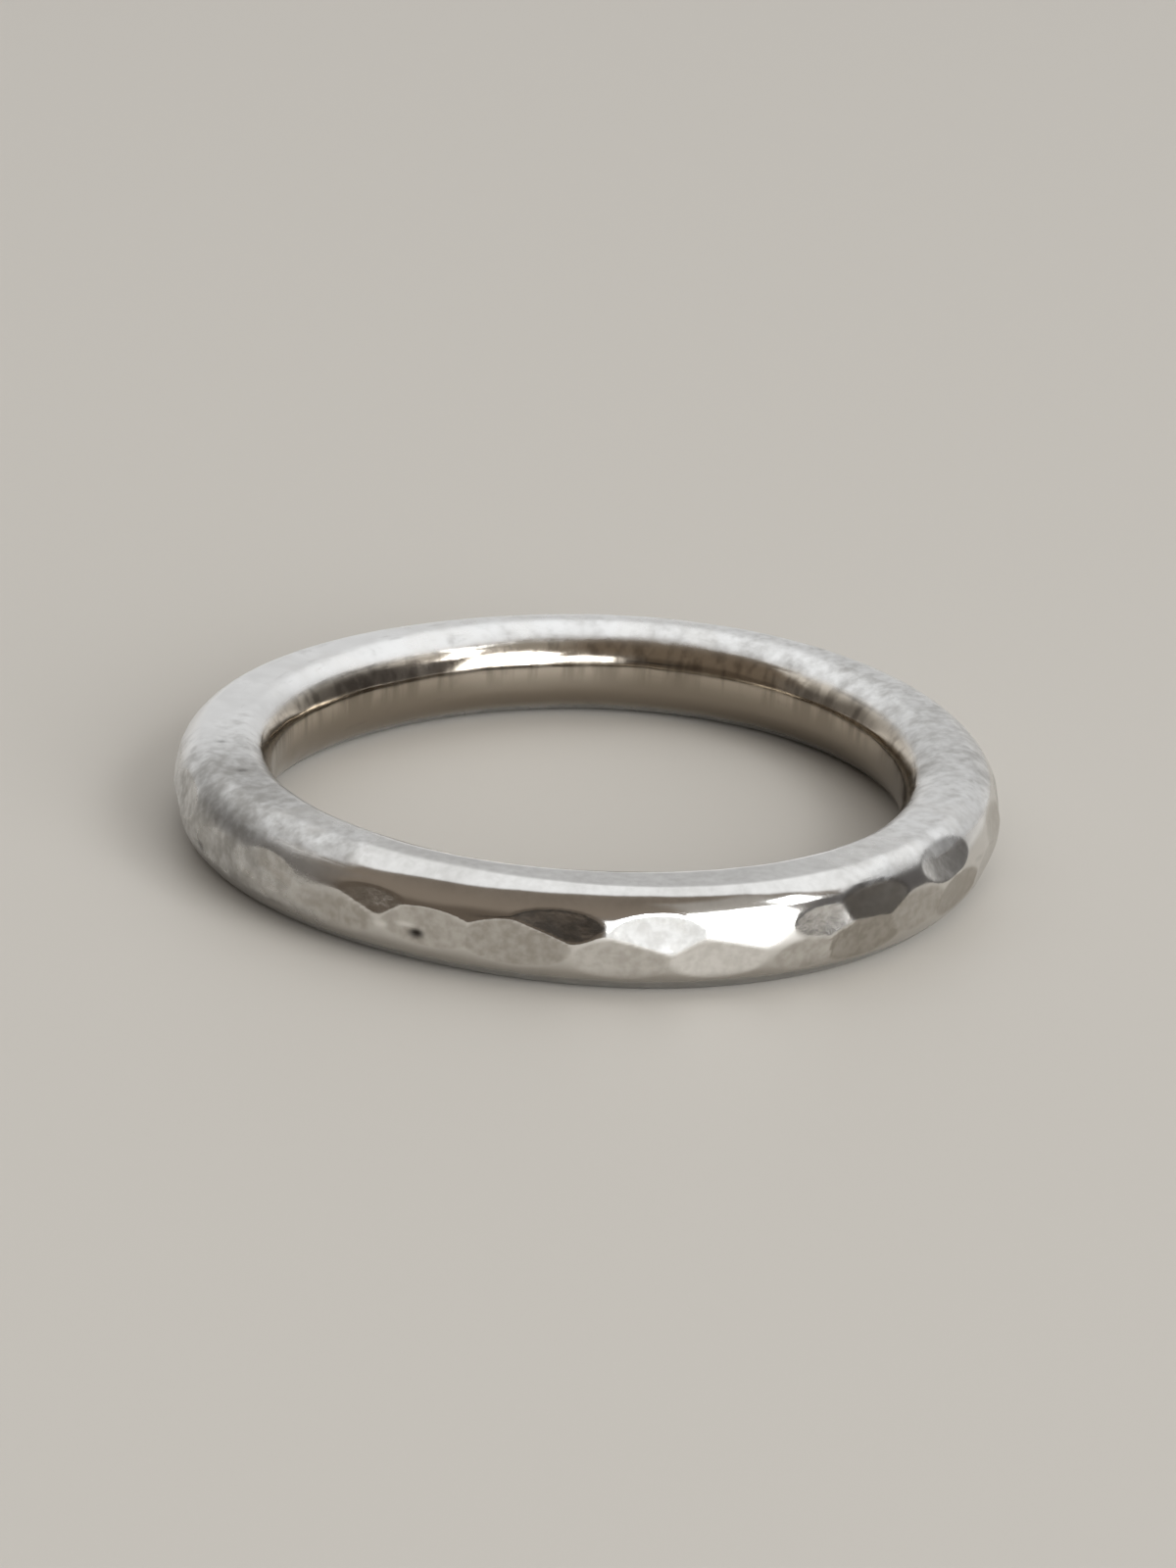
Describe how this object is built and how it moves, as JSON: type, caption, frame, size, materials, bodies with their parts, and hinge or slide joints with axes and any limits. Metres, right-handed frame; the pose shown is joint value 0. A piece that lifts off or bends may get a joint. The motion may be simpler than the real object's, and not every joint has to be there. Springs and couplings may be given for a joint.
{
  "type": "finger ring",
  "caption": "Plain stacking finger ring of heavy round silver wire, its outer side hammered into flat overlapping faces, lying on its side.",
  "frame": {"origin": "centre of the ring at the surface that it lies on", "axes": "+Z along the ring's axis, away from the surface; -Y towards the front of the picture, where the charted hammer faces are"},
  "size_m": [0.022, 0.0224, 0.0027],
  "materials": {
    "silver": "hammered and polished outside, satin sides"
  },
  "bodies": {
    "root": {"ring_band": "silver"}
  },
  "joints": []
}
